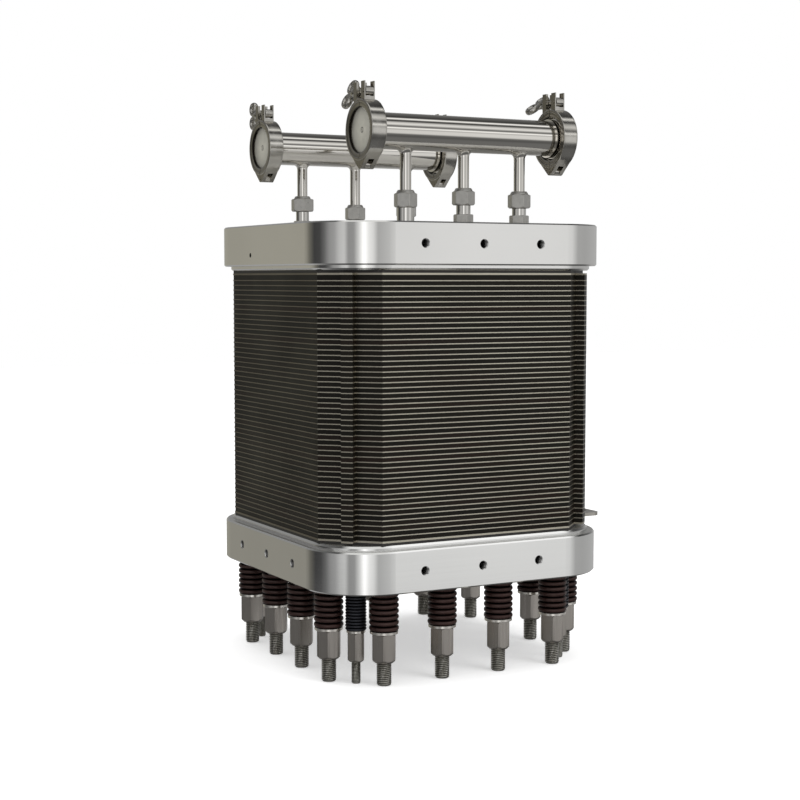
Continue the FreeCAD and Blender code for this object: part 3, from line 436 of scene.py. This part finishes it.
# phosphated: a little lighter where the rims are rubbed, with a dull gloss; the notches are painted black as
# painted shade
brown_spring = two_tone("phosphated spring steel", (0.030, 0.013, 0.011), (0.004, 0.001, 0.001), 0.34, 90,
                        (0.075, 0.040, 0.034), 0.45)
washer_low, washer_high = 55.2, 58.2
plate_underside = 100.0
profile, notch_shade = spring_profile(15.75, 8.2, washer_high, plate_underside, 7)
discs = [turned(profile, (x, y, 0), groove=notch_shade) for x, y in main_spots]
solid_of("spring_discs", discs, brown_spring, "disc_springs", 28)
washer_steel = two_tone("bright washer steel", (0.78, 0.75, 0.70), (0.3, 0.3, 0.28), 0.2)


def washer_profile(outer, bore, low, high, bevel):
    """A flat ring whose rim is bevelled above and below."""
    rim = [(outer, low + bevel), (outer, high - bevel), (outer - bevel, high)]
    return np.array([*rim, (bore, high), (bore, low), (outer - bevel, low)])


washer = washer_profile(15.0, 8.2, washer_low, washer_high, 0.3)
washers = [turned(washer, (x, y, 0)) for x, y in main_spots]
solid_of("plain_washers", washers, washer_steel, "disc_springs")
# the notches are painted black here too, as painted shade
blue_spring = two_tone("blued spring steel", (0.016, 0.017, 0.022), (0.002, 0.002, 0.003), 0.34, 90,
                       (0.040, 0.042, 0.052), 0.45)
washer_low, washer_high = 54.4, 57.0
profile, notch_shade = spring_profile(11.25, 5.2, washer_high, plate_underside, 13)
discs = [turned(profile, (x, y, 0), around=44, groove=notch_shade) for x, y in corner_spots]
solid_of("corner_spring_discs", discs, blue_spring, "corner_disc_springs", 28)
washer = washer_profile(10.0, 5.2, washer_low, washer_high, 0.2)
washers = [turned(washer, (x, y, 0)) for x, y in corner_spots]
solid_of("corner_washers", washers, washer_steel, "corner_disc_springs")

# Long nuts, tall hexagons cut from drawn steel bar, whose corners are turned off at both ends,
# the lower ones more.


def turned_hexagon(x, y, flats, heights, limits, bore, turn=30.0, around=96):
    """A hexagon's radius is half its flats divided by the cosine of the angle from the nearest
    flat's middle. Each row also stays within that row's turned limit, which cuts the corners.
    The bore closes the ring."""
    angle = np.linspace(0, 2 * np.pi, around, endpoint=False)[None, :]
    from_flat = (angle - math.radians(turn) + np.pi / 6) % (np.pi / 3) - np.pi / 6
    hexagon = flats / 2 / np.cos(from_flat)
    r = np.minimum(hexagon, np.array(limits)[:, None])
    r = np.vstack([np.full((1, around), bore), r, np.full((1, around), bore)])
    z = np.array([heights[0], *heights, heights[-1]])[:, None]
    return np.stack([x + r * np.cos(angle), y + r * np.sin(angle), z + 0 * angle], -1), True, 0.0


def chamfered(low, high, flats, cut_low, cut_high, slope):
    """Heights and turned limits of a hexagon whose corners are cut at both ends. The slope is the
    cut's height for each millimetre that it goes in."""
    corner_radius, upper_slope = flats / math.sqrt(3), 0.577
    share = np.linspace(0, 1, 6)
    below, above = share * (corner_radius - cut_low), share[::-1] * (corner_radius - cut_high)
    heights = np.concatenate([low + below * slope, high - above * upper_slope])
    return list(heights), list(np.concatenate([cut_low + below, cut_high + above]))


nut_steel = brushed("drawn steel", (0.46, 0.43, 0.395), 0.3, 0.12, (500, 500, 12))
heights, limits = chamfered(24.4, 55.2, 24, 10.3, 11.9, 1.0)
nuts = [turned_hexagon(x, y, 24, heights, limits, 8.05) for x, y in main_spots]
solid_of("turned_long_nuts", nuts, nut_steel, "long_nuts", 20)
heights, limits = chamfered(23.4, 54.4, 17, 7.3, 8.3, 1.0)
nuts = [turned_hexagon(x, y, 17, heights, limits, 5.05) for x, y in corner_spots]
solid_of("turned_corner_nuts", nuts, nut_steel, "corner_long_nuts", 20)

# Polished stainless tubes with a clamp ferrule welded to each end and three thin risers
# welded in below. The polish runs along the tubes.
tube_steel = brushed("polished stainless steel", (0.80, 0.775, 0.725), 0.035, 0.008, (3, 900, 900))
dress("front_manifold", tube_steel)
dress("rear_manifold", tube_steel)


def flared_outlet(x, y, axis_level, tube, riser, flare, drop, around=48):
    """The neck drawn out of the tube's wall. Going down, its radius falls to the riser's with the
    square of what is left, and its level falls with the square of what is done, from the level
    at which each point of the tube's underside lies. Inside the wall it closes on itself."""
    angle = np.linspace(0, 2 * np.pi, around, endpoint=False)[None, :]
    part = np.linspace(0, 1, 10)[:, None]
    radius = np.vstack([riser + flare * (1 - part) ** 2, [[riser - 0.5], [riser - 0.5], [riser + flare]]])
    fall = np.vstack([drop * part ** 2, [[drop], [-0.8], [-0.5]]])
    level = axis_level - np.sqrt(tube ** 2 - (radius * np.sin(angle)) ** 2) - fall
    return np.stack([x + radius * np.cos(angle), y + radius * np.sin(angle), level], -1), True, 0.0


axis_level, axis_side = 579, 130.7
spots = [(x, y) for x in (-70, 0, 70) for y in (-axis_side, axis_side)]
outlets = [flared_outlet(x, y, axis_level, 19.05, 6.03, 4.6, 5.5) for x, y in spots]
solid_of("drawn_outlets", outlets, tube_steel, None, 60)

# Fittings of turned stainless steel. Each has a body screwed into a port, five of them with a
# hexagonal foot, a polished neck, and a hexagonal nut with a tapered crown that grips the riser.
plate_top, nut_height, neck_bore, riser_hole = 485, 14.7, 7.65, 6.05
seats = {(-70, -1): 15.6, (0, -1): 19.3, (70, -1): 17.4, (-70, 1): 20.7, (0, 1): 12.0, (70, 1): 17.0}
grips, feet, necks = [], [], []
for (x, side), seat in seats.items():
    y, low = axis_side * side, plate_top + seat
    flats = 24 if seat == 20.7 else 22
    heights, limits = chamfered(low, low + nut_height, flats, flats / 2 - 0.1, flats / 2 - 0.1, 0.9)
    heights += [low + rise for rise in (14.75, 15.2, 16.9, 18.0)]
    limits += [flats / 2 - 0.9, 9.9, 9.1, 8.2]
    grips.append(turned_hexagon(x, y, flats, heights, limits, riser_hole, 50.0))
    wide = seat == 15.6
    outside = 9.2 if wide else neck_bore
    if not wide:
        heights, limits = chamfered(plate_top + 0.02, plate_top + 9.5, 19, 10.9, 9.7, 0.5)
        feet.append(turned_hexagon(x, y, 19, heights, limits, 7.4, 50.0))
    skirt = [(outside, plate_top + 0.02), (outside, low - 0.6), (outside - 0.4, low), (neck_bore, low)]
    inner = [(neck_bore, low + 8), (riser_hole, low + 8), (riser_hole, plate_top + 0.02)]
    wall = np.array(skirt + inner)
    necks.append(turned(wall, (x, y, 0), around=48))
fitting_steel = two_tone("satin turned stainless steel", (0.56, 0.55, 0.52), (0.1, 0.1, 0.09), 0.36, 240)
solid_of("fitting_grips", grips, fitting_steel, "fitting_nuts", 20)
solid_of("fitting_feet", feet, fitting_steel, "fitting_bodies", 20)
neck_steel = brushed("polished neck steel", (0.74, 0.725, 0.69), 0.05, 0.01, (20, 20, 900))
solid_of("fitting_necks", necks, neck_steel, "fitting_bodies")

# Blank caps of matt stainless steel that close the tubes over a pale gasket. A turning centre
# is left in the middle of each.
cap_steel = two_tone("matt stainless steel", (0.60, 0.585, 0.51), (0.16, 0.155, 0.14), 0.45, 220,
                     metallic=0.3)
rim, face = 25.25, 3.95
cap = np.array([(0, 0), (rim, 0), (rim, 2.85), (23.6, 3.7), (22.9, face), (3.3, face), (3.0, 3.6), (2.1, 3.6),
                (1.8, 4.1), (1.0, 4.1), (0.8, 3.7), (0, 3.7)])
# painted shadow: the cap's flank goes dark; the turning centre is a real mark, and its small rings are also
# painted dark as the shade in their recesses
flank_shade_and_centre_mark = [0, 0, 1, 1, 0.35, 0, 0.9, 0.9, 0, 0, 1, 1]
tube_end, gasket = 116.25, 0.8
ends = [(x, y) for x in (-tube_end, tube_end) for y in (-axis_side, axis_side)]
discs = []
for x, y in ends:
    away = math.copysign(1, x)
    discs.append(turned(cap, (x + away * gasket, y, axis_level), (away, 0, 0), 72, flank_shade_and_centre_mark, False))
solid_of("turned_caps", discs, cap_steel, "blank_caps", 30)
dress("ferrule_gaskets", plain_finish("gasket rubber", (0.7, 0.7, 0.68), 0.6, 0.0)[0])

# Clamps, cast stainless rings in two hinged halves. A bolt swings into both forked ears, and a
# wing nut with two round loops pulls them together.


def cast_steel():
    """Blasted and tumbled castings: fine grain and slow hollows stand as a bump in a satin gloss.
    The flat faces at both ends keep more of the dark casting skin than the rims, which were ground."""
    material, n, link, shader = plain_finish("cast stainless steel", (0.47, 0.455, 0.42), 0.2)
    place = n.new("ShaderNodeTexCoord")
    grain = noise(n, link, place.outputs["Object"], 90, 5)
    depth = n.new("ShaderNodeAttribute")
    depth.attribute_name = "groove"
    faces = n.new("ShaderNodeGroup")
    faces.node_tree = flat_faces
    ground = blend(n, link, grain, (0.44, 0.425, 0.385), (0.72, 0.70, 0.655))
    skinned = blend(n, link, faces.outputs["X"], ground, (0.46, 0.44, 0.40), "MULTIPLY")
    # where the mesh marks a groove the colour goes nearly black: painted shade of the gap inside the ridge
    colour = blend(n, link, depth.outputs["Fac"], skinned, (0.018, 0.016, 0.013))
    link(colour, shader.inputs["Base Color"])
    link(spread(n, link, grain, 0.07, 0.19), shader.inputs["Roughness"])
    relief(n, link, shader, grain, 0.14, 0.0006)
    return material


clamp_steel = cast_steel()
for piece in ("near_halves", "far_halves", "hinge_pins", "pivot_pins", "swing_bolts"):
    dress("clamp_" + piece, clamp_steel)


def ridge_arc(profile, groove, x, y, side, gap=1.4):
    """A profile of radius and distance from the clamp's middle, swept about X over half a turn
    less the gap between the jaws. Each end closes on the profile's own middle."""
    radius, across = profile[:, 0], profile[:, 1]
    reach = np.pi / 2 - gap / 30  # the gap is measured 30 mm from the axis
    angle = np.linspace(-reach, reach, 40)[:, None]
    level = axis_level + radius * np.sin(angle)
    rows = np.stack([x + across + 0 * angle, y + side * radius * np.cos(angle), level], -1)
    middle = np.repeat(rows.mean(axis=1, keepdims=True), len(profile), 1)
    return np.concatenate([middle[:1], rows, middle[-1:]]), False, np.array(groove, float)[None, :]


# The ridge runs round both faces of each jaw. The bevel inside it is painted black as the shade of the gap
# round the cap.
ridge = np.array([(24.3, 6.9), (23.9, 5.2), (23.9, 7.7), (24.4, 7.95), (27.6, 8.0), (28.1, 8.0), (28.5, 8.45),
                  (29.0, 8.6), (30.7, 8.6), (31.4, 8.3), (31.62, 7.6), (31.62, 6.9)])
gap_shade = [1, 1, 1, 0, 0.1, 0.9, 0.1, 0, 0, 0, 0, 0]
ridges = []
for x, y in ends:
    for side in (-1, 1):
        for hand in (-1, 1):
            ridges.append(ridge_arc(ridge * (1, hand), gap_shade, x, y, side))
solid_of("clamp_ridges", ridges, clamp_steel, None, 50)


def looped_wings(x, y, turn):
    """A round hub, a flat web shaped like a squeezed ball, and two loops, each a round bar bent
    into a ring: a circle round the loop's middle, and round each of its points an oval. All are
    turned by an angle about the bolt."""
    loop_middle, loop_radius, bar_depth, bar_width = 36.4, 6.1, 2.45, 3.3
    around = np.linspace(0, 2 * np.pi, 48, endpoint=False)[:, None]
    section = np.linspace(0, 2 * np.pi, 18, endpoint=False)[None, :]
    pole = np.linspace(0, np.pi, 17)[:, None]
    reach = loop_radius + bar_depth * np.cos(section)
    shapes = []
    for side in (-8.0, 8.0):
        loop = np.stack([bar_width * np.sin(section) + 0 * around, loop_middle + reach * np.cos(around),
                         side + reach * np.sin(around)], -1)
        shapes.append((loop, True))
    ball = np.stack([3.6 * np.sin(pole) * np.cos(section), 26.4 + 8.4 * np.cos(pole) + 0 * section,
                     9.6 * np.sin(pole) * np.sin(section)], -1)
    shapes.append((ball, False))
    hub = np.array([(3.05, 16.8), (5.5, 16.8), (6.0, 17.3), (6.0, 24.4), (5.4, 25.5), (4.0, 25.8),
                    (3.05, 25.8)])
    shapes.append((turned(hub, (0, 0, 0), (0, 1, 0), 40)[0], True))
    c, s = math.cos(math.radians(turn)), math.sin(math.radians(turn))
    about = np.array([[c, 0, -s], [0, 1, 0], [s, 0, c]])
    return [(points @ about + (x, y, axis_level + pivot_rise), ring, 0.0) for points, ring in shapes]


pivot_rise = 39.7
wings = []
for (x, y), turn in zip(ends, (25, 0, 55, 90)):
    wings += looped_wings(x, y, turn)
solid_of("looped_wing_nuts", wings, clamp_steel, "clamp_wing_nuts", 50)

# Studio. A pale floor just below the rod tips, which only the camera sees lifted to white, soft
# light from above and the front, and the photo's camera.
floor_mesh = bpy.data.meshes.new("studio floor")
half, drop = 6, -0.0005
corners = [(-half, -half, drop), (half, -half, drop), (half, half, drop), (-half, half, drop)]
floor_mesh.from_pydata(corners, [], [(0, 1, 2, 3)])
floor = bpy.data.objects.new("studio floor", floor_mesh)
bpy.context.scene.collection.objects.link(floor)
floor_paint = bpy.data.materials.new("pale floor")
floor_paint.use_nodes = True
tree = floor_paint.node_tree
surface = tree.nodes["Principled BSDF"]
surface.inputs["Base Color"].default_value = (0.9, 0.9, 0.9, 1)
surface.inputs["Roughness"].default_value = 0.9
surface.inputs["Emission Color"].default_value = (1, 1, 1, 1)
rays = tree.nodes.new("ShaderNodeLightPath")
lift = tree.nodes.new("ShaderNodeMath")
lift.operation = "MULTIPLY"
lift.inputs[1].default_value = 0.45
tree.links.new(rays.outputs["Is Camera Ray"], lift.inputs[0])
tree.links.new(lift.outputs[0], surface.inputs["Emission Strength"])
floor_mesh.materials.append(floor_paint)
floor.visible_glossy = False


def world_light():
    """White for the camera. What metal mirrors near the horizon is a ring of grey studio panels,
    read by compass angle, and above and below it long soft boxes, read by the angle about X.
    Straight overhead hangs one pale cloth."""
    world = bpy.data.worlds.new("studio")
    bpy.context.scene.world = world
    world.use_nodes = True
    n, link = world.node_tree.nodes, world.node_tree.links.new
    n.clear()
    out = n.new("ShaderNodeOutputWorld")
    toward = n.new("ShaderNodeTexCoord")
    split = n.new("ShaderNodeSeparateXYZ")
    link(toward.outputs["Generated"], split.inputs[0])
    reckon = reckoner(n, link)

    def panels(value, stops):
        ramp = n.new("ShaderNodeValToRGB")
        parts = ramp.color_ramp.elements
        parts[0].position, parts[1].position = stops[0][0] / 360, stops[-1][0] / 360
        parts[0].color = (stops[0][1],) * 3 + (1,)
        parts[-1].color = (stops[-1][1],) * 3 + (1,)
        for degrees, level, *warm in stops[1:-1]:
            green, blue = (0.975, 0.82) if warm else (1, 1)
            parts.new(degrees / 360).color = (level, level * green, level * blue, 1)
        link(value, ramp.inputs["Fac"])
        return ramp.outputs["Color"]

    def share_of_turn(upward, rim_side_shade):
        share = reckon("DIVIDE", reckon("ARCTAN2", upward, rim_side_shade), 2 * math.pi)
        return reckon("FRACT", reckon("ADD", share, 1.0))

    # each stop is an angle in degrees and a level, and a third number marks a warm panel
    compass = share_of_turn(split.outputs["Y"], split.outputs["X"])
    ring = panels(compass, [
        (0, 0.42), (30, 0.45), (60, 0.4), (90, 0.36, 1), (118, 0.345, 1), (132, 0.16, 1), (146, 0.05),
        (160, 0.06), (170, 0.14), (180, 0.30), (190, 0.36), (199, 0.55), (208, 0.62), (215, 0.30),
        (225, 0.32), (234, 0.75), (242, 1.4), (250, 0.95), (258, 0.80), (266, 0.45), (276, 0.5),
        (287, 0.56), (294, 0.7), (300, 0.80), (312, 0.72), (326, 0.42), (345, 0.40), (360, 0.42),
    ])
    about = share_of_turn(split.outputs["Z"], reckon("MULTIPLY", split.outputs["Y"], -1.0))
    boxes = panels(about, [
        (0, 0.3), (6, 0.15), (12, 0.6), (17, 1.3), (22, 0.5), (28, 0.1), (35, 0.5), (43, 0.95),
        (54, 0.6), (61, 0.12), (67, 0.03), (73, 0.35), (80, 1.3), (88, 0.3), (94, 0.04), (112, 0.1),
        (132, 0.14), (156, 0.28), (186, 0.32), (216, 0.4), (240, 0.13), (264, 0.06), (285, 0.16),
        (314, 0.16), (327, 0.10), (340, 0.18), (353, 0.4), (360, 0.3),
    ])
    # the ring hangs a little below the horizon, since both end plates are seen from between
    height = reckon("ABSOLUTE", reckon("ADD", split.outputs["Z"], 0.06))
    mirrored = blend(n, link, spread(n, link, height, 0, 1, 0.12, 0.26), ring, boxes)
    overhead = spread(n, link, split.outputs["Z"], 0, 1, 0.9, 0.95)
    ceiling = blend(n, link, overhead, mirrored, (0.8, 0.8, 0.79))
    rays = n.new("ShaderNodeLightPath")
    soft = n.new("ShaderNodeBackground")
    soft.inputs["Color"].default_value = (1, 1, 1, 1)
    soft.inputs["Strength"].default_value = 0.75
    mirror = n.new("ShaderNodeBackground")
    link(ceiling, mirror.inputs["Color"])
    white = n.new("ShaderNodeBackground")
    white.inputs["Color"].default_value = (1, 1, 1, 1)
    first = n.new("ShaderNodeMixShader")
    link(rays.outputs["Is Glossy Ray"], first.inputs[0])
    link(soft.outputs[0], first.inputs[1])
    link(mirror.outputs[0], first.inputs[2])
    second = n.new("ShaderNodeMixShader")
    seen = reckon("MAXIMUM", rays.outputs["Is Camera Ray"], rays.outputs["Is Transmission Ray"])
    link(seen, second.inputs[0])
    link(first.outputs[0], second.inputs[1])
    link(white.outputs[0], second.inputs[2])
    link(second.outputs[0], out.inputs["Surface"])


world_light()


def soft_lamp(name, place, aim, width, height, watts):
    """A rectangular lamp at a place, turned towards a point."""
    lamp = bpy.data.lights.new(name, "AREA")
    lamp.shape = "RECTANGLE"
    lamp.size, lamp.size_y, lamp.energy = width, height, watts
    thing = bpy.data.objects.new(name, lamp)
    thing.location = place
    thing.rotation_euler = (Vector(aim) - Vector(place)).to_track_quat("-Z", "Y").to_euler()
    thing.visible_glossy = False
    bpy.context.scene.collection.objects.link(thing)


soft_lamp("front lamp", (1.0, -2.2, 1.6), (0, 0, 0.3), 1.6, 1.6, 22)
soft_lamp("top lamp", (-0.3, 0.2, 2.6), (0, 0, 0.3), 2.0, 2.0, 18)

camera = bpy.data.cameras.new("photo camera")
camera.lens = 72.45
camera.sensor_width = 36
camera.clip_start, camera.clip_end = 0.05, 50
eye = bpy.data.objects.new("photo camera", camera)
eye.location = (-0.86805, -1.63018, 0.42608)
eye.rotation_euler = (math.radians(90 - 4.311), 0, math.radians(-27.826))
bpy.context.scene.collection.objects.link(eye)
bpy.context.scene.camera = eye
bpy.context.scene.view_settings.view_transform = "Standard"
